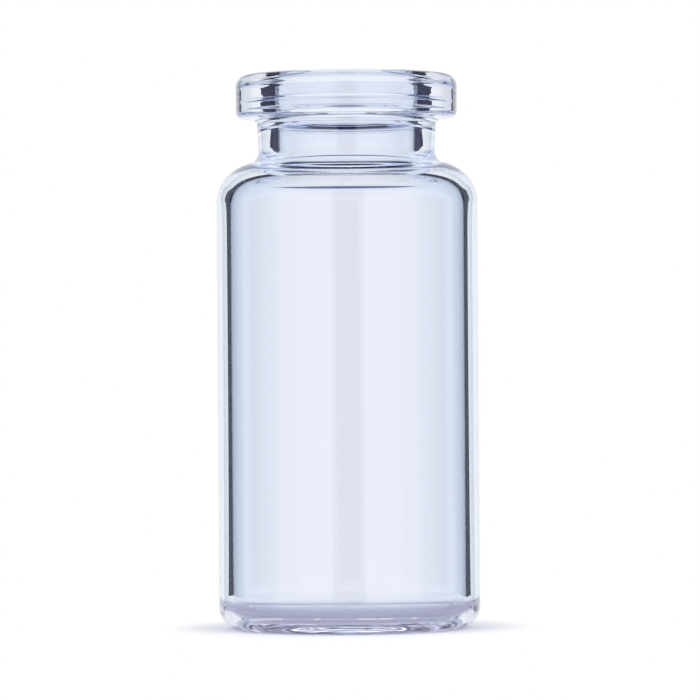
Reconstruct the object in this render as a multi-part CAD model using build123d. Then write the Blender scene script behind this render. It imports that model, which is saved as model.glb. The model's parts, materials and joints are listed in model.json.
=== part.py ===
"""A small glass sample vial with a crimp-seal neck, made from one piece of clear tubing glass.

The vial is a surface of revolution about Z. It stands on a narrow ring round a slightly
hollow bottom, and has a straight body, a rounded shoulder, a short neck and a thick rolled
flange that takes a stopper and a crimped cap. Millimetres, +Z up, with the origin at the
centre of the standing ring. Points in the section are (distance from the axis, height).
"""

import os
from math import atan2, degrees, radians, sqrt, tan

from build123d import *

# Overall sizes
HEIGHT = 50.0
BODY_DIAMETER = 23.6
FLANGE_DIAMETER = 20.0
NECK_TOP_DIAMETER = 16.3  # just under the flange
NECK_ROOT_DIAMETER = 15.95  # where the neck runs into the shoulder
BORE_DIAMETER = 12.4  # in the neck
MOUTH_DIAMETER = 12.9  # inside the flange

# Glass thickness
BODY_WALL = 1.25
SHOULDER_WALL = 1.25
FLOOR_THICKNESS = 1.25  # at the edge of the floor

# Body
SHOULDER_DROP = 7.9  # from the mouth down to where the shoulder curve would level out
SHOULDER_RADIUS = 3.7
NECK_FILLET = 1.1  # between the shoulder and the neck
INNER_SHOULDER_RADIUS = 2.5
THROAT_RADIUS = 2.7  # where the bore opens into the body
HEEL_RADIUS = 2.0
INNER_HEEL_RADIUS = 1.55
STANDING_RING_WIDTH = 0.4
BOTTOM_HOLLOW = 0.5  # how far the middle of the bottom is raised
FLOOR_CROWN = 0.4  # how far the middle of the floor is raised

# Flange
FLANGE_THICKNESS = 3.8  # at its rim
FLANGE_SLOPE = 10.0  # degrees that the underside falls towards the neck
FLANGE_TOP_RADIUS = 1.0
FLANGE_LOWER_RADIUS = 0.6
UNDER_FLANGE_FILLET = 0.5
MOUTH_RADIUS = 0.6  # inner edge of the mouth
MOUTH_DEPTH = 3.0  # of the wider bore inside the flange
MOUTH_TAPER = 1.1  # height over which it narrows to the neck

# Radii and heights that follow from the sizes
body = BODY_DIAMETER / 2
cavity = body - BODY_WALL
bore = BORE_DIAMETER / 2
mouth = MOUTH_DIAMETER / 2
neck_top = NECK_TOP_DIAMETER / 2
neck_root = NECK_ROOT_DIAMETER / 2
flange = FLANGE_DIAMETER / 2
flange_low = HEIGHT - FLANGE_THICKNESS
under_flange = flange_low - (flange - neck_top) * tan(radians(FLANGE_SLOPE))
taper_top = HEIGHT - MOUTH_DEPTH
taper_end = taper_top - MOUTH_TAPER
shoulder_top = HEIGHT - SHOULDER_DROP
ceiling = shoulder_top - SHOULDER_WALL
floor_edge = FLOOR_THICKNESS
floor_middle = floor_edge + FLOOR_CROWN
standing_ring = body - HEEL_RADIUS - STANDING_RING_WIDTH


def shoulder_curve(wall, top, shoulder_radius, neck, neck_radius):
    """The double curve from a body wall up to a neck, and the point where it ends on the neck.

    A convex arc turns in from the wall under the height top, and a concave arc carries it on
    to the neck. The two touch where they meet, or a level line joins them if there is room.
    """
    shoulder_centre = (wall - shoulder_radius, top - shoulder_radius)
    across = neck + neck_radius - shoulder_centre[0]
    reach = shoulder_radius + neck_radius
    rise = sqrt(reach**2 - max(across, 0) ** 2)
    turn = min(degrees(atan2(rise, across)), 90)
    neck_centre = (neck + neck_radius, shoulder_centre[1] + rise)
    edges = [
        CenterArc(shoulder_centre, shoulder_radius, 0, turn),
        CenterArc(neck_centre, neck_radius, 180, turn),
    ]
    if across < 0:
        edges.append(Line((shoulder_centre[0], top), (neck_centre[0], top)))
    return edges, (neck, neck_centre[1])


def section():
    """Half of the vial's section, with the plain corners still sharp."""
    outer_curve, neck_start = shoulder_curve(
        body, shoulder_top, SHOULDER_RADIUS, neck_root, NECK_FILLET
    )
    inner_curve, bore_end = shoulder_curve(
        cavity, ceiling, INNER_SHOULDER_RADIUS, bore, THROAT_RADIUS
    )
    with BuildSketch(Plane.XZ) as half:
        with BuildLine():
            TangentArc((0, BOTTOM_HOLLOW), (standing_ring, 0), tangent=(1, 0))
            Polyline((standing_ring, 0), (body, 0), (body, shoulder_top - SHOULDER_RADIUS))
            add(outer_curve)
            TangentArc(neck_start, (neck_top, under_flange), tangent=(0, 1))
            Polyline(
                (neck_top, under_flange),
                (flange, flange_low),
                (flange, HEIGHT),
                (mouth, HEIGHT),
                (mouth, taper_top),
            )
            Spline((mouth, taper_top), (bore, taper_end), tangents=[(0, -1), (0, -1)])
            Line((bore, taper_end), bore_end)
            add(inner_curve)
            Line((cavity, ceiling - INNER_SHOULDER_RADIUS), (cavity, floor_edge))
            TangentArc((0, floor_middle), (cavity, floor_edge), tangent=(1, 0))
            Line((0, floor_middle), (0, BOTTOM_HOLLOW))
        make_face()
    return half.sketch


def rounded(face, radii):
    """The face with the corner nearest each (distance from the axis, height) rounded."""
    for (x, z), radius in radii.items():
        corner = face.vertices().sort_by_distance((x, 0, z))[0]
        face = fillet(corner, radius)
    return face


def vial():
    corners = {
        (body, 0): HEEL_RADIUS,
        (neck_top, under_flange): UNDER_FLANGE_FILLET,
        (flange, flange_low): FLANGE_LOWER_RADIUS,
        (flange, HEIGHT): FLANGE_TOP_RADIUS,
        (mouth, HEIGHT): MOUTH_RADIUS,
        (cavity, floor_edge): INNER_HEEL_RADIUS,
    }
    return revolve(rounded(section(), corners), Axis.Z)


os.makedirs("parts", exist_ok=True)
export_step(vial(), "parts/vial.step")
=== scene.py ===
"""A clear glass sample vial standing on a pale table.

The glass is one piece, turned from its section and given the slight unevenness of
flame-worked tubing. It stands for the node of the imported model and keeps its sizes.
"""

import json
from math import acos, atan2, cos, degrees, exp, pi, radians, sin, sqrt, tan

import bpy
from bpy.props import FloatProperty, FloatVectorProperty, IntProperty, PointerProperty
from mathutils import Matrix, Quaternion, Vector


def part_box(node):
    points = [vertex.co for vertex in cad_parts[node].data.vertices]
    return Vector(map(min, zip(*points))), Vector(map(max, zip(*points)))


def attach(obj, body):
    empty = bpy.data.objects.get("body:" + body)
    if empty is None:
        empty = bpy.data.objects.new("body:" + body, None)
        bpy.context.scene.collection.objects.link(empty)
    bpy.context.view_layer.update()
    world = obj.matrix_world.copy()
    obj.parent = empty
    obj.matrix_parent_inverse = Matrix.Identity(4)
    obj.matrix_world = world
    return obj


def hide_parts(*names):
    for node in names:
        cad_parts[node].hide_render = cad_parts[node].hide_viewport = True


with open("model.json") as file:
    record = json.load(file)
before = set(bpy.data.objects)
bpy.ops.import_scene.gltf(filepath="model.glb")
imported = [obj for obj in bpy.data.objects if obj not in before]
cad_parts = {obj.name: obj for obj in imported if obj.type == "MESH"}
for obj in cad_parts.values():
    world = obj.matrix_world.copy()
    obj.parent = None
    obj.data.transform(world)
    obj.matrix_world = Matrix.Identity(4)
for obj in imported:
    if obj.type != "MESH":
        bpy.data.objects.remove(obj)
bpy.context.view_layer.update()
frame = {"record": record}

bl_info = {
    "name": "Glass sample vial",
    "version": (1, 0, 0),
    "blender": (4, 5, 0),
    "location": "View3D > Sidebar > Vial",
    "description": "Builds a clear glass vial and the plain studio that it stands in",
    "category": "Add Mesh",
}

MM = 0.001
NODE = "vial"

# Outside of the section
FLANGE_THICKNESS = 3.8 * MM
FLANGE_SLOPE = 10.0  # degrees that its underside falls towards the neck
FLANGE_TOP_RADIUS = 1.0 * MM
FLANGE_LOWER_RADIUS = 0.6 * MM
UNDER_FLANGE_FILLET = 0.5 * MM
NECK_TOP = 8.15 * MM  # radius under the flange
NECK_ROOT = 7.975 * MM  # radius where the neck meets the shoulder
NECK_FILLET = 1.1 * MM
SHOULDER_DROP = 7.9 * MM
SHOULDER_RADIUS = 3.7 * MM
HEEL = 2.0 * MM
STANDING_RING = 0.4 * MM
BOTTOM_HOLLOW = 0.5 * MM

# Inside of the section
MOUTH_EDGE = 0.6 * MM
MOUTH_END = 4.1 * MM  # depth at which the mouth has narrowed to the bore
MOUTH_TAPER = 1.1 * MM
CEILING_DROP = 9.15 * MM
INNER_SHOULDER = 2.5 * MM
THROAT = 2.7 * MM
INNER_HEEL = 1.55 * MM
FLOOR_CROWN = 0.4 * MM
BORE_ROWS = 84

# Forming rings in the mouth: change in radius, depth below the top, half width
FLANGE_RINGS = (
    (0.1 * MM, 1.0 * MM, 0.18 * MM),
    (0.09 * MM, 2.3 * MM, 0.15 * MM),
    (-0.06 * MM, 3.15 * MM, 0.14 * MM),
)

# Unevenness: how closely it repeats along each axis, per metre, and its twist
RING_STRETCH = (90.0, 90.0, 900.0)
RIPPLE_STRETCH = (190.0, 190.0, 190.0)
RIPPLE_TWIST = 2.0
SEED = 3.7

# Tints: heights from the bottom or depths from the top, and how far the wall turns away
WORKED_FOOT = (3.2 * MM, 1.0 * MM)
WORKED_TOP = (8.5 * MM, 3.5 * MM)
WORKED_TOP_SHARE = 0.8
SIDE_TURN = (0.08, 0.4)
RIM_TURN = (0.5, 0.72)

# Painted glow in the glass, which no lamp gives: its zones, and the painted dark streaks in the bottom
BOTTOM_ZONE = (3.0 * MM, 6.0 * MM)
FLANGE_ZONE = (5.6 * MM, 4.6 * MM)
STREAK_SCALE, STREAK_DETAIL, STREAK_TWIST = 230.0, 2.0, 2.5
STREAK_EDGES = (0.39, 0.59)

# Light that is followed inside the glass: reflections off it, and steps in all, past which a painted
# glow is added
LAST_REFLECTION = 3.5
LAST_STEP = 11.5
LAMP_SHARE = 0.85  # of the lamps' light that goes straight through the glass

# Table: white beyond the outer radius, its own colour inside the inner one, save that rays through the
# glass see a painted shade there
TABLE_SIDE = 4.0
TABLE_NEAR = 11.5 * MM
TABLE_FAR = 18.0 * MM
FILL_LIGHT = 0.55  # strength of the world for light that falls

# Camera
SENSOR = 36.0
LENS = 227.4
SHIFT = 0.00286
AIM_RISE = 0.46 * MM
ROLL = -0.4  # degrees

# Cards, in degrees: turns from straight behind the vial, rises from level
CARD_REACH = 52 * MM
CARD_STEPS = 24
CARD_ROWS = 38
CARD_FOOT, CARD_TOP = -30, 42
FLAG_EDGE, ROOM_EDGE, PANEL_EDGE, FRONT_EDGE = 48, 76, 120, 167
NECK_EDGE = 42.7  # of the flag, behind the neck and flange
NECK_LOW, NECK_HIGH, NECK_BLEND = 15.0, 32.0, 5.0

low, high = (Vector(corner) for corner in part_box(NODE))
mounts = {mount["name"]: mount for mount in frame["record"]["mounts"]}


def mount_radius(name):
    """A round mount's radius in metres."""
    return mounts[name]["dims"]["r_mm"] * MM


def length(name, default, description):
    """A size in metres that a user may change."""
    return FloatProperty(
        name=name, description=description, default=default,
        min=0.0, precision=5, subtype="DISTANCE", unit="LENGTH",
    )


def tint(name, default, description):
    """A colour that a user may change."""
    return FloatVectorProperty(
        name=name, description=description, default=default,
        size=3, min=0.0, max=1.0, subtype="COLOR",
    )


class VialShape(bpy.types.PropertyGroup):
    """Sizes of the glass"""

    height: length("Height", high.z - low.z, "From the table to the top of the flange")
    body: length("Body radius", high.x, "Outside of the straight body")
    wall: length("Wall", 1.25 * MM, "Glass thickness of the body")
    floor: length("Floor", 1.25 * MM, "Glass thickness at the edge of the floor")
    flange: length("Flange radius", mount_radius("flange_rim"), "Outside of the flange")
    mouth: length("Mouth radius", mount_radius("mouth"), "Bore inside the flange")
    bore: length("Bore radius", mount_radius("neck"), "Bore of the neck")
    tool_marks: length("Tool marks", 0.005 * MM, "Depth of the rings left by forming")
    swirl: length("Swirl", 0.09 * MM, "Unevenness of the bottom")
    segments: IntProperty(
        name="Segments", description="Facets round the axis", default=224, min=16, max=256
    )


class VialGlass(bpy.types.PropertyGroup):
    """Look of the glass"""

    body_tint: tint("Body tint", (0.925, 0.94, 0.99), "Tint of the straight, thin glass")
    side_tint: tint("Side tint", (0.862, 0.915, 0.985), "Tint where the wall turns away")
    rim_tint: tint("Rim tint", (0.73, 0.835, 0.985), "Tint at the very edge")
    worked_tint: tint("Worked tint", (0.86, 0.90, 0.98), "Tint of the thick, worked glass")
    # The next four colours are a painted glow, an emission in the glass where light stops being
    # followed: painted light in the bottom and heel broken by painted dark streaks, in the shoulder
    # and neck, and in the flange
    low_glow: tint("Bottom glow", (0.34, 0.34, 0.45), "Light caught in the bottom and heel")
    painted_streak_shade: tint("Bottom streaks", (0.012, 0.012, 0.035), "Streaks in the bottom and heel")
    neck_glow: tint("Neck glow", (0.06, 0.075, 0.14), "Light caught in the shoulder and neck")
    flange_glow: tint("Flange glow", (0.24, 0.28, 0.40), "Light caught in the flange")
    ior: FloatProperty(
        name="Refractive index", description="Of borosilicate glass", default=1.473,
        min=1.0, max=2.0,
    )


class VialStage(bpy.types.PropertyGroup):
    """Table, light and camera"""

    table: tint("Table", (0.86, 0.86, 0.90), "Colour of the table")
    # Painted shade: the dim lilac glow that rays through the glass see on the table under the vial
    under: tint("Under the glass", (0.40, 0.39, 0.52), "Table under the vial, seen through the glass")
    panel: tint("Panels", (0.80, 0.80, 0.86), "Brightness of the two soft front panels")
    side: tint("Sides", (0.30, 0.34, 0.50), "Brightness of the room at each side")
    flag: tint("Flags", (0.005, 0.006, 0.036), "Brightness of the dark flags")
    distance: length("Camera distance", 0.4, "From the lens to the vial's axis")
    camera_height: length("Camera height", 24.68 * MM, "Of the lens over the table")


# ---------------------------------------------------------------- the section of the glass


def arc(centre, radius, start, sweep, steps=20):
    """Points on an arc, with angles in degrees."""
    turns = [radians(start + sweep * i / steps) for i in range(steps + 1)]
    return [(centre[0] + radius * cos(t), centre[1] + radius * sin(t)) for t in turns]


def rounded_corner(before, corner, after, radius, steps=14):
    """The arc that rounds a corner between two straight sides."""
    middle = Vector(corner)
    first = (Vector(before) - middle).normalized()
    second = (Vector(after) - middle).normalized()
    half = acos(max(-1.0, min(1.0, first.dot(second)))) / 2
    centre = middle + (first + second).normalized() * radius / sin(half)
    begin = middle + first * radius / tan(half) - centre
    end = middle + second * radius / tan(half) - centre
    start = degrees(atan2(begin.y, begin.x))
    sweep = (degrees(atan2(end.y, end.x)) - start + 180) % 360 - 180
    return arc(centre, radius, start, sweep, steps)


def double_curve(wall, top, convex, neck, concave, steps=26):
    """The curve from a body wall in to a neck: one arc turning in, one turning up."""
    centre = (wall - convex, top - convex)
    across = neck + concave - centre[0]
    rise = sqrt((convex + concave) ** 2 - across**2)
    turn = degrees(atan2(rise, across))
    upper = (neck + concave, centre[1] + rise)
    return arc(centre, convex, 0, turn, steps) + arc(upper, concave, 180 + turn, -turn, steps)[1:]


def straight(start, end, steps):
    """Points between two ends, without the ends."""
    return [
        tuple(a + (b - a) * i / steps for a, b in zip(start, end)) for i in range(1, steps)
    ]


def crown(radius, edge, rise, steps=30):
    """A shallow dome from the axis out to a radius."""
    return [(radius * i / steps, edge + rise * (1 - (i / steps) ** 2)) for i in range(steps + 1)]


def hump(height, at, width):
    """A smooth ring of a given half width round a height."""
    return exp(-(((height - at) / width) ** 2))


def section(shape):
    """The closed section as (radius, height, tool marks, swirl), from the axis out and back."""
    top = shape.height
    body = shape.body
    inner = body - shape.wall
    flange_low = top - FLANGE_THICKNESS
    under = flange_low - (shape.flange - NECK_TOP) * tan(radians(FLANGE_SLOPE))
    ring = body - HEEL - STANDING_RING

    points = []

    def add(zone, marks, swirl):
        points.extend((radius, height, marks, swirl) for radius, height in zone)

    points.extend(
        (radius, height, 0.0, 1.0 - (radius / ring) ** 8)
        for radius, height in crown(ring, 0.0, BOTTOM_HOLLOW)
    )
    add(arc((body - HEEL, HEEL), HEEL, -90, 24, 6), 0.0, 0.0)
    add(arc((body - HEEL, HEEL), HEEL, -66, 66, 18)[1:], 0.0, 0.12)
    outer = double_curve(body, top - SHOULDER_DROP, SHOULDER_RADIUS, NECK_ROOT, NECK_FILLET)
    add(straight((body, HEEL), outer[0], 16), 0.02, 0.0)
    add(outer, 0.0, 0.0)
    neck = [
        (
            NECK_ROOT + (NECK_TOP - NECK_ROOT) * (i / 8) ** 2,
            outer[-1][1] + (under - outer[-1][1]) * i / 8,
        )
        for i in range(1, 9)
    ]
    add(neck[:-1], 0.1, 0.0)
    rim = shape.flange
    add(rounded_corner(neck[-2], neck[-1], (rim, flange_low), UNDER_FLANGE_FILLET), 0.1, 0.0)
    add(rounded_corner(neck[-1], (rim, flange_low), (rim, top), FLANGE_LOWER_RADIUS), 0.3, 0.0)
    low_end = (rim, flange_low + FLANGE_LOWER_RADIUS)
    add(straight(low_end, (rim, top - FLANGE_TOP_RADIUS), 14), 1.0, 0.0)
    add(rounded_corner((rim, flange_low), (rim, top), (0, top), FLANGE_TOP_RADIUS), 0.8, 0.0)
    add(rounded_corner((rim, top), (shape.mouth, top), (shape.mouth, 0), MOUTH_EDGE), 0.5, 0.0)

    throat = double_curve(inner, top - CEILING_DROP, INNER_SHOULDER, shape.bore, THROAT, 30)
    bore_top = top - MOUTH_EDGE
    bore_end = throat[-1][1]
    for i in range(1, BORE_ROWS):
        height = bore_top + (bore_end - bore_top) * i / BORE_ROWS
        taper = min(max((height - top + MOUTH_END) / MOUTH_TAPER, 0.0), 1.0)
        radius = shape.bore + (shape.mouth - shape.bore) * taper * taper * (3 - 2 * taper)
        for change, depth, width in FLANGE_RINGS:
            radius += change * hump(height, top - depth, width)
        in_flange = height > top - 4.0 * MM
        add([(radius, height)], 0.8 if in_flange else 0.1, 0.0)
    add(reversed(throat), 0.0, 0.0)
    add(straight(throat[0], (inner, shape.floor + INNER_HEEL), 16), 0.02, 0.0)
    corner = (inner, shape.floor)
    add(rounded_corner((inner, top), corner, (0, shape.floor), INNER_HEEL, 20), 0.0, 0.4)
    add(reversed(crown(inner - INNER_HEEL, shape.floor, FLOOR_CROWN)[:-1]), 0.0, 1.0)
    return points


# ---------------------------------------------------------------- the lathe


def value_node(tree, operation, *inputs, node="ShaderNodeMath"):
    """A maths node with its inputs linked or set, and its first output."""
    made = tree.nodes.new(node)
    made.operation = operation
    for socket, given in zip(made.inputs, inputs):
        if isinstance(given, bpy.types.NodeSocket):
            tree.links.new(given, socket)
        else:
            socket.default_value = given
    return made.outputs[0] if node == "ShaderNodeMath" else made.outputs["Vector"]


def lathe_tree():
    """Turns a section, given as a row of points, round the Z axis."""
    tree = bpy.data.node_groups.new("Glass lathe", "GeometryNodeTree")
    face = tree.interface
    face.new_socket("Geometry", in_out="INPUT", socket_type="NodeSocketGeometry")
    for name, kind in (
        ("Segments", "NodeSocketInt"), ("Tool Marks", "NodeSocketFloat"),
        ("Swirl", "NodeSocketFloat"), ("Seed", "NodeSocketFloat"), ("Glass", "NodeSocketMaterial"),
    ):
        face.new_socket(name, in_out="INPUT", socket_type=kind)
    face.new_socket("Geometry", in_out="OUTPUT", socket_type="NodeSocketGeometry")
    link = tree.links.new
    given = tree.nodes.new("NodeGroupInput").outputs

    count = tree.nodes.new("GeometryNodeAttributeDomainSize")
    link(given["Geometry"], count.inputs["Geometry"])
    grid = tree.nodes.new("GeometryNodeMeshGrid")
    link(value_node(tree, "ADD", given["Segments"], 1.0), grid.inputs["Vertices X"])
    link(count.outputs["Point Count"], grid.inputs["Vertices Y"])

    index = tree.nodes.new("GeometryNodeInputIndex").outputs[0]
    row = value_node(tree, "MODULO", index, count.outputs["Point Count"])
    share = value_node(tree, "DIVIDE", index, count.outputs["Point Count"])
    column = value_node(tree, "FLOOR", share)
    share_of_turn = value_node(tree, "DIVIDE", column, given["Segments"])
    turn = value_node(tree, "MULTIPLY", share_of_turn, 2 * pi)

    def from_section(data_type, source):
        sample = tree.nodes.new("GeometryNodeSampleIndex")
        sample.data_type = data_type
        link(given["Geometry"], sample.inputs["Geometry"])
        link(source, sample.inputs["Value"])
        link(row, sample.inputs["Index"])
        return sample.outputs["Value"]

    def named(name):
        made = tree.nodes.new("GeometryNodeInputNamedAttribute")
        made.data_type = "FLOAT"
        made.inputs["Name"].default_value = name
        return made.outputs["Attribute"]

    position = tree.nodes.new("GeometryNodeInputPosition").outputs[0]
    split = tree.nodes.new("ShaderNodeSeparateXYZ")
    link(from_section("FLOAT_VECTOR", position), split.inputs[0])
    join = tree.nodes.new("ShaderNodeCombineXYZ")
    for axis, wave in (("X", "COSINE"), ("Y", "SINE")):
        along = value_node(tree, wave, turn)
        link(value_node(tree, "MULTIPLY", split.outputs["X"], along), join.inputs[axis])
    link(split.outputs["Z"], join.inputs["Z"])

    geometry = grid.outputs["Mesh"]
    for name in ("marks", "swirl"):
        store = tree.nodes.new("GeometryNodeStoreNamedAttribute")
        store.data_type = "FLOAT"
        store.inputs["Name"].default_value = name
        link(geometry, store.inputs["Geometry"])
        link(from_section("FLOAT", named(name)), store.inputs["Value"])
        geometry = store.outputs["Geometry"]
    place = tree.nodes.new("GeometryNodeSetPosition")
    link(geometry, place.inputs["Geometry"])
    link(join.outputs[0], place.inputs["Position"])
    merge = tree.nodes.new("GeometryNodeMergeByDistance")
    merge.inputs["Distance"].default_value = 1e-6
    link(place.outputs[0], merge.inputs["Geometry"])

    def unevenness(stretch, name, amount, distortion):
        noise = tree.nodes.new("ShaderNodeTexNoise")
        noise.noise_dimensions = "4D"
        noise.inputs["Scale"].default_value = 1.0
        noise.inputs["Detail"].default_value = 1.5
        noise.inputs["Distortion"].default_value = distortion
        spread = value_node(tree, "MULTIPLY", position, stretch, node="ShaderNodeVectorMath")
        link(spread, noise.inputs["Vector"])
        link(given["Seed"], noise.inputs["W"])
        swing = value_node(tree, "SUBTRACT", noise.outputs["Fac"], 0.5)
        weighted = value_node(tree, "MULTIPLY", swing, named(name))
        return value_node(tree, "MULTIPLY", weighted, amount)

    rings = unevenness(RING_STRETCH, "marks", given["Tool Marks"], 0.0)
    ripple = unevenness(RIPPLE_STRETCH, "swirl", given["Swirl"], RIPPLE_TWIST)
    normal = tree.nodes.new("GeometryNodeInputNormal").outputs[0]
    shift = tree.nodes.new("ShaderNodeVectorMath")
    shift.operation = "SCALE"
    link(normal, shift.inputs[0])
    link(value_node(tree, "ADD", rings, ripple), shift.inputs["Scale"])
    uneven = tree.nodes.new("GeometryNodeSetPosition")
    link(merge.outputs[0], uneven.inputs["Geometry"])
    link(shift.outputs["Vector"], uneven.inputs["Offset"])

    smooth = tree.nodes.new("GeometryNodeSetShadeSmooth")
    realize = tree.nodes.new("GeometryNodeRealizeInstances")
    dress = tree.nodes.new("GeometryNodeSetMaterial")
    out = tree.nodes.new("NodeGroupOutput")
    link(uneven.outputs[0], smooth.inputs["Geometry"])
    link(smooth.outputs[0], realize.inputs["Geometry"])
    link(realize.outputs[0], dress.inputs["Geometry"])
    link(given["Glass"], dress.inputs["Material"])
    link(dress.outputs[0], out.inputs[0])
    return tree


def set_input(modifier, name, value):
    """Sets a modifier's input by its socket's identifier."""
    for item in modifier.node_group.interface.items_tree:
        if item.item_type == "SOCKET" and item.in_out == "INPUT" and item.name == name:
            modifier[item.identifier] = value
            return
    raise ValueError(f"no input named {name}")


def turned(name, points, shape, material):
    """A plain mesh object turned from a section."""
    row = bpy.data.meshes.new(f"{name}_section")
    row.from_pydata([(radius, 0.0, height) for radius, height, _, _ in points], [], [])
    for column, attribute in ((2, "marks"), (3, "swirl")):
        layer = row.attributes.new(attribute, "FLOAT", "POINT")
        layer.data.foreach_set("value", [point[column] for point in points])
    source = bpy.data.objects.new(f"{name}_section", row)
    bpy.context.scene.collection.objects.link(source)
    modifier = source.modifiers.new("Lathe", "NODES")
    modifier.node_group = lathe_tree()
    set_input(modifier, "Segments", shape.segments)
    set_input(modifier, "Tool Marks", shape.tool_marks)
    set_input(modifier, "Swirl", shape.swirl)
    set_input(modifier, "Seed", SEED)
    set_input(modifier, "Glass", material)
    graph = bpy.context.evaluated_depsgraph_get()
    mesh = bpy.data.meshes.new_from_object(source.evaluated_get(graph))
    mesh.name = name
    bpy.data.objects.remove(source)
    bpy.data.meshes.remove(row)
    made = bpy.data.objects.new(name, mesh)
    bpy.context.scene.collection.objects.link(made)
    return made


# ---------------------------------------------------------------- materials


def new_material(name):
    """An empty node material and its tree."""
    material = bpy.data.materials.new(name)
    material.use_nodes = True
    material.node_tree.nodes.clear()
    return material, material.node_tree


def glass_material(look, shape):
    """Clear glass, a little more tinted where it was worked thick, with a painted glow in it where
    light stops being followed.
    """
    material, tree = new_material("clear_glass")
    link = tree.links.new
    shader = tree.nodes.new("ShaderNodeBsdfPrincipled")
    shader.inputs["IOR"].default_value = look.ior
    shader.inputs["Transmission Weight"].default_value = 1.0
    shader.inputs["Roughness"].default_value = 0.0

    place = tree.nodes.new("ShaderNodeTexCoord").outputs["Object"]
    split = tree.nodes.new("ShaderNodeSeparateXYZ")
    link(place, split.inputs[0])

    def ramp(source, start, end):
        step = tree.nodes.new("ShaderNodeMapRange")
        step.interpolation_type = "SMOOTHSTEP"
        step.inputs["From Min"].default_value = start
        step.inputs["From Max"].default_value = end
        link(source, step.inputs["Value"])
        return step.outputs["Result"]

    def band(start, end):
        return ramp(split.outputs["Z"], start, end)

    def blend(share, first, second):
        mix = tree.nodes.new("ShaderNodeMix")
        mix.data_type = "RGBA"
        link(share, mix.inputs[0])
        for socket, colour in ((mix.inputs[6], first), (mix.inputs[7], second)):
            if isinstance(colour, bpy.types.NodeSocket):
                link(colour, socket)
            else:
                socket.default_value = (*colour, 1.0)
        return mix.outputs[2]

    def top_band(depths):
        return band(*(shape.height - depth for depth in depths))

    worked = value_node(
        tree, "MAXIMUM",
        band(*WORKED_FOOT),
        value_node(tree, "MULTIPLY", top_band(WORKED_TOP), WORKED_TOP_SHARE),
    )
    turned_away = tree.nodes.new("ShaderNodeLayerWeight").outputs["Facing"]
    wall = blend(ramp(turned_away, *SIDE_TURN), look.body_tint, look.side_tint)
    wall = blend(ramp(turned_away, *RIM_TURN), wall, look.rim_tint)
    link(blend(worked, wall, look.worked_tint), shader.inputs["Base Color"])

    # Painted glow: an emission, for light that goes round inside the glass until it is no longer
    # followed, with painted dark streaks in the bottom and heel
    path = tree.nodes.new("ShaderNodeLightPath").outputs
    spent = value_node(
        tree, "MAXIMUM",
        value_node(tree, "GREATER_THAN", path["Glossy Depth"], LAST_REFLECTION),
        value_node(tree, "GREATER_THAN", path["Ray Depth"], LAST_STEP),
    )
    painted_streaks = tree.nodes.new("ShaderNodeTexNoise")
    painted_streaks.inputs["Scale"].default_value = STREAK_SCALE
    painted_streaks.inputs["Detail"].default_value = STREAK_DETAIL
    painted_streaks.inputs["Distortion"].default_value = STREAK_TWIST
    link(place, painted_streaks.inputs["Vector"])
    # Painted streaks: the painted light in the bottom and heel broken by painted dark lines
    bottom = blend(ramp(painted_streaks.outputs["Fac"], *STREAK_EDGES), look.painted_streak_shade, look.low_glow)
    lower = blend(band(*BOTTOM_ZONE), bottom, look.neck_glow)
    upper = top_band(FLANGE_ZONE)
    painted_glow = tree.nodes.new("ShaderNodeEmission")
    link(blend(upper, lower, look.flange_glow), painted_glow.inputs["Color"])
    link(spent, painted_glow.inputs["Strength"])
    lit = tree.nodes.new("ShaderNodeAddShader")
    link(shader.outputs[0], lit.inputs[0])
    link(painted_glow.outputs[0], lit.inputs[1])
    clear = tree.nodes.new("ShaderNodeBsdfTransparent")
    clear.inputs["Color"].default_value = (*look.body_tint, 1.0)
    lamp_light = tree.nodes.new("ShaderNodeLightPath").outputs["Is Shadow Ray"]
    through = tree.nodes.new("ShaderNodeMixShader")
    link(value_node(tree, "MULTIPLY", lamp_light, LAMP_SHARE), through.inputs[0])
    link(lit.outputs[0], through.inputs[1])
    link(clear.outputs[0], through.inputs[2])
    out = tree.nodes.new("ShaderNodeOutputMaterial")
    link(through.outputs[0], out.inputs["Surface"])
    return material


def seen_directly(tree):
    """1 for rays from the camera, off a gloss or through glass, 0 for light that falls."""
    path = tree.nodes.new("ShaderNodeLightPath")
    seen = value_node(tree, "MAXIMUM", path.outputs["Is Camera Ray"], path.outputs["Is Glossy Ray"])
    return value_node(tree, "MAXIMUM", seen, path.outputs["Is Transmission Ray"])


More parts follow.
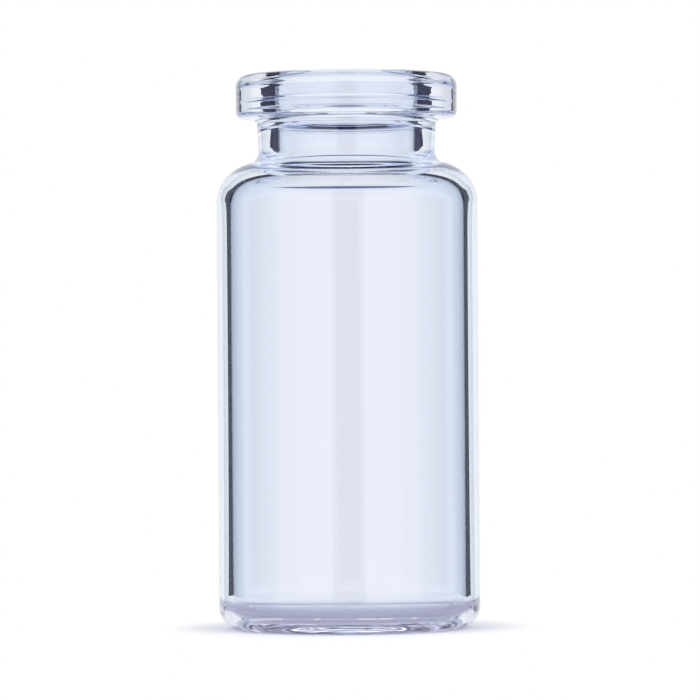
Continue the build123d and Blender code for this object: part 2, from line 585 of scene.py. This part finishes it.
def table_material(stage):
    """A pale table that fades into the white background away from the vial, with a painted shade under
    the vial for rays through the glass.
    """
    material, tree = new_material("pale_table")
    link = tree.links.new
    cloth = tree.nodes.new("ShaderNodeBsdfPrincipled")
    cloth.inputs["Roughness"].default_value = 0.9
    cloth.inputs["Specular IOR Level"].default_value = 0.1
    cloth.inputs["Base Color"].default_value = (*stage.table, 1.0)
    white = tree.nodes.new("ShaderNodeEmission")
    white.inputs["Strength"].default_value = 1.0
    place = tree.nodes.new("ShaderNodeTexCoord").outputs["Object"]
    far = tree.nodes.new("ShaderNodeMapRange")
    far.interpolation_type = "SMOOTHSTEP"
    far.inputs["From Min"].default_value = TABLE_NEAR
    far.inputs["From Max"].default_value = TABLE_FAR
    away = tree.nodes.new("ShaderNodeVectorMath")
    away.operation = "LENGTH"
    link(place, away.inputs[0])
    link(away.outputs["Value"], far.inputs["Value"])
    # Painted shade under the vial: a dim glow that only rays through the glass see
    shade = tree.nodes.new("ShaderNodeEmission")
    shade.inputs["Color"].default_value = (*stage.under, 1.0)
    near = tree.nodes.new("ShaderNodeMixShader")
    link(tree.nodes.new("ShaderNodeLightPath").outputs["Is Transmission Ray"], near.inputs[0])
    link(cloth.outputs[0], near.inputs[1])
    link(shade.outputs[0], near.inputs[2])
    mix = tree.nodes.new("ShaderNodeMixShader")
    link(value_node(tree, "MULTIPLY", far.outputs["Result"], seen_directly(tree)), mix.inputs[0])
    link(near.outputs[0], mix.inputs[1])
    link(white.outputs[0], mix.inputs[2])
    out = tree.nodes.new("ShaderNodeOutputMaterial")
    link(mix.outputs[0], out.inputs["Surface"])
    return material


def glow_material(name, colour):
    """An even glow, for a soft panel or a dark flag."""
    material, tree = new_material(name)
    glow = tree.nodes.new("ShaderNodeEmission")
    glow.inputs["Color"].default_value = (*colour, 1.0)
    out = tree.nodes.new("ShaderNodeOutputMaterial")
    tree.links.new(glow.outputs[0], out.inputs["Surface"])
    return material


# ---------------------------------------------------------------- the studio


def white_world():
    """A white background, and an even soft light on everything else."""
    world = bpy.data.worlds.new("studio")
    bpy.context.scene.world = world
    world.use_nodes = True
    tree = world.node_tree
    tree.nodes.clear()
    glow = tree.nodes.new("ShaderNodeBackground")
    glow.inputs["Color"].default_value = (1.0, 1.0, 1.0, 1.0)
    mix = tree.nodes.new("ShaderNodeMapRange")
    mix.inputs["To Min"].default_value = FILL_LIGHT
    mix.inputs["To Max"].default_value = 1.0
    tree.links.new(seen_directly(tree), mix.inputs["Value"])
    tree.links.new(mix.outputs["Result"], glow.inputs["Strength"])
    out = tree.nodes.new("ShaderNodeOutputWorld")
    tree.links.new(glow.outputs[0], out.inputs["Surface"])


def camera_at(stage):
    """A long lens, level with the middle of the vial."""
    data = bpy.data.cameras.new("camera")
    data.sensor_width = SENSOR
    data.lens = LENS
    data.shift_x = SHIFT
    data.clip_start = 0.01
    camera = bpy.data.objects.new("camera", data)
    bpy.context.scene.collection.objects.link(camera)
    camera.location = (0.0, -stage.distance, stage.camera_height)
    aim = Vector((0.0, 0.0, stage.camera_height + AIM_RISE)) - camera.location
    roll = Quaternion((0, 0, 1), radians(ROLL))
    camera.rotation_mode = "QUATERNION"
    camera.rotation_quaternion = aim.to_track_quat("-Z", "Y") @ roll
    bpy.context.scene.camera = camera
    return camera


def surround(camera, stage, name, start, end, foot, top, material, neck_start=None):
    """A curved card round the vial, between two turns from straight behind it.

    It goes round with the camera, so the edges of the glass look alike from every side.
    With neck_start, its near edge moves to that turn behind the neck and flange.
    """
    rises = [foot + (top - foot) * i / CARD_ROWS for i in range(CARD_ROWS + 1)]
    verts = []
    for i in range(CARD_STEPS + 1):
        for rise in rises:
            share = min(rise - NECK_LOW, NECK_HIGH - rise) / NECK_BLEND
            behind_neck = min(max(share, 0.0), 1.0)
            first = start + ((neck_start or start) - start) * behind_neck
            turn = radians(first + (end - first) * i / CARD_STEPS)
            out = CARD_REACH * cos(radians(rise))
            up = CARD_REACH * sin(radians(rise))
            verts.append((out * sin(turn), up, -stage.distance - out * cos(turn)))
    rows = len(rises)
    faces = [
        (i * rows + j, (i + 1) * rows + j, (i + 1) * rows + j + 1, i * rows + j + 1)
        for i in range(CARD_STEPS) for j in range(rows - 1)
    ]
    mesh = bpy.data.meshes.new(name)
    mesh.from_pydata(verts, [], faces)
    mesh.materials.append(material)
    card = bpy.data.objects.new(name, mesh)
    bpy.context.scene.collection.objects.link(card)
    card.parent = camera
    card.visible_camera = False
    card.visible_diffuse = False
    card.visible_shadow = False
    card.visible_volume_scatter = False
    return card


def soft_lamp(name, place, aim, size, power):
    """A square soft box."""
    data = bpy.data.lights.new(name, "AREA")
    data.shape = "SQUARE"
    data.size = size
    data.energy = power
    lamp = bpy.data.objects.new(name, data)
    bpy.context.scene.collection.objects.link(lamp)
    lamp.location = place
    lamp.rotation_euler = (Vector(aim) - Vector(place)).to_track_quat("-Z", "Y").to_euler()
    lamp.visible_glossy = False
    lamp.visible_transmission = False
    return lamp


# ---------------------------------------------------------------- operators and panel


class VIAL_OT_glass(bpy.types.Operator):
    """Turn the glass vial and give it its material"""

    bl_idname = "vial.glass"
    bl_label = "Glass vial"

    def execute(self, context):
        shape = context.scene.vial_shape
        glass = glass_material(context.scene.vial_glass, shape)
        vial = turned("vial_glass", section(shape), shape, glass)
        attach(vial, "root")
        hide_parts(NODE)
        return {"FINISHED"}


class VIAL_OT_stage(bpy.types.Operator):
    """Set the table, the soft light, the cards and the camera"""

    bl_idname = "vial.stage"
    bl_label = "Table, light and camera"

    def execute(self, context):
        stage = context.scene.vial_stage
        white_world()
        mesh = bpy.data.meshes.new("table")
        corners = ((-1, -1), (1, -1), (1, 1), (-1, 1))
        mesh.from_pydata([(x * TABLE_SIDE, y * TABLE_SIDE, 0) for x, y in corners], [], [(0, 1, 2, 3)])
        mesh.materials.append(table_material(stage))
        table = bpy.data.objects.new("table", mesh)
        context.scene.collection.objects.link(table)
        camera = camera_at(stage)
        flag = glow_material("dark_flag", stage.flag)
        panel = glow_material("soft_panel", stage.panel)
        room = glow_material("dim_room", stage.side)
        for hand, side in ((1, "right"), (-1, "left")):
            for name, start, end, glow, neck_start in (
                ("flag", FLAG_EDGE, ROOM_EDGE, flag, hand * NECK_EDGE),
                ("room", ROOM_EDGE, PANEL_EDGE, room, None),
                ("panel", PANEL_EDGE, FRONT_EDGE, panel, None),
            ):
                surround(
                    camera, stage, f"{name}_{side}", hand * start, hand * end,
                    CARD_FOOT, CARD_TOP, glow, neck_start,
                )
        surround(camera, stage, "flag_front", FRONT_EDGE, 360 - FRONT_EDGE, CARD_FOOT, CARD_TOP, flag)
        surround(camera, stage, "flag_top", FLAG_EDGE, 360 - FLAG_EDGE, CARD_TOP, 90, flag)
        for hand, side in ((-1, "left"), (1, "right")):
            soft_lamp(f"{side}_soft_box", (hand * 0.5, -0.4, 0.5), (0, 0, 0.02), 0.5, 4.0)
        context.scene.view_settings.view_transform = "Standard"
        return {"FINISHED"}


class VIAL_PT_panel(bpy.types.Panel):
    """Sizes, colours and builders of the vial"""

    bl_idname = "VIAL_PT_panel"
    bl_label = "Glass vial"
    bl_space_type = "VIEW_3D"
    bl_region_type = "UI"
    bl_category = "Vial"

    def draw(self, context):
        for group in ("vial_shape", "vial_glass", "vial_stage"):
            box = self.layout.box()
            settings = getattr(context.scene, group)
            for name in settings.__annotations__:
                box.prop(settings, name)
        for operator in OPERATORS:
            self.layout.operator(operator.bl_idname)


OPERATORS = (VIAL_OT_glass, VIAL_OT_stage)
CLASSES = (VialShape, VialGlass, VialStage, *OPERATORS, VIAL_PT_panel)


def register():
    """Adds the classes and the settings."""
    for made in CLASSES:
        bpy.utils.register_class(made)
    bpy.types.Scene.vial_shape = PointerProperty(type=VialShape)
    bpy.types.Scene.vial_glass = PointerProperty(type=VialGlass)
    bpy.types.Scene.vial_stage = PointerProperty(type=VialStage)


def unregister():
    """Removes the settings and the classes."""
    del bpy.types.Scene.vial_stage
    del bpy.types.Scene.vial_glass
    del bpy.types.Scene.vial_shape
    for made in reversed(CLASSES):
        bpy.utils.unregister_class(made)


def main():
    """Builds the vial and its stage."""
    register()
    bpy.ops.vial.glass()
    bpy.ops.vial.stage()


if __name__ == "__main__":
    main()
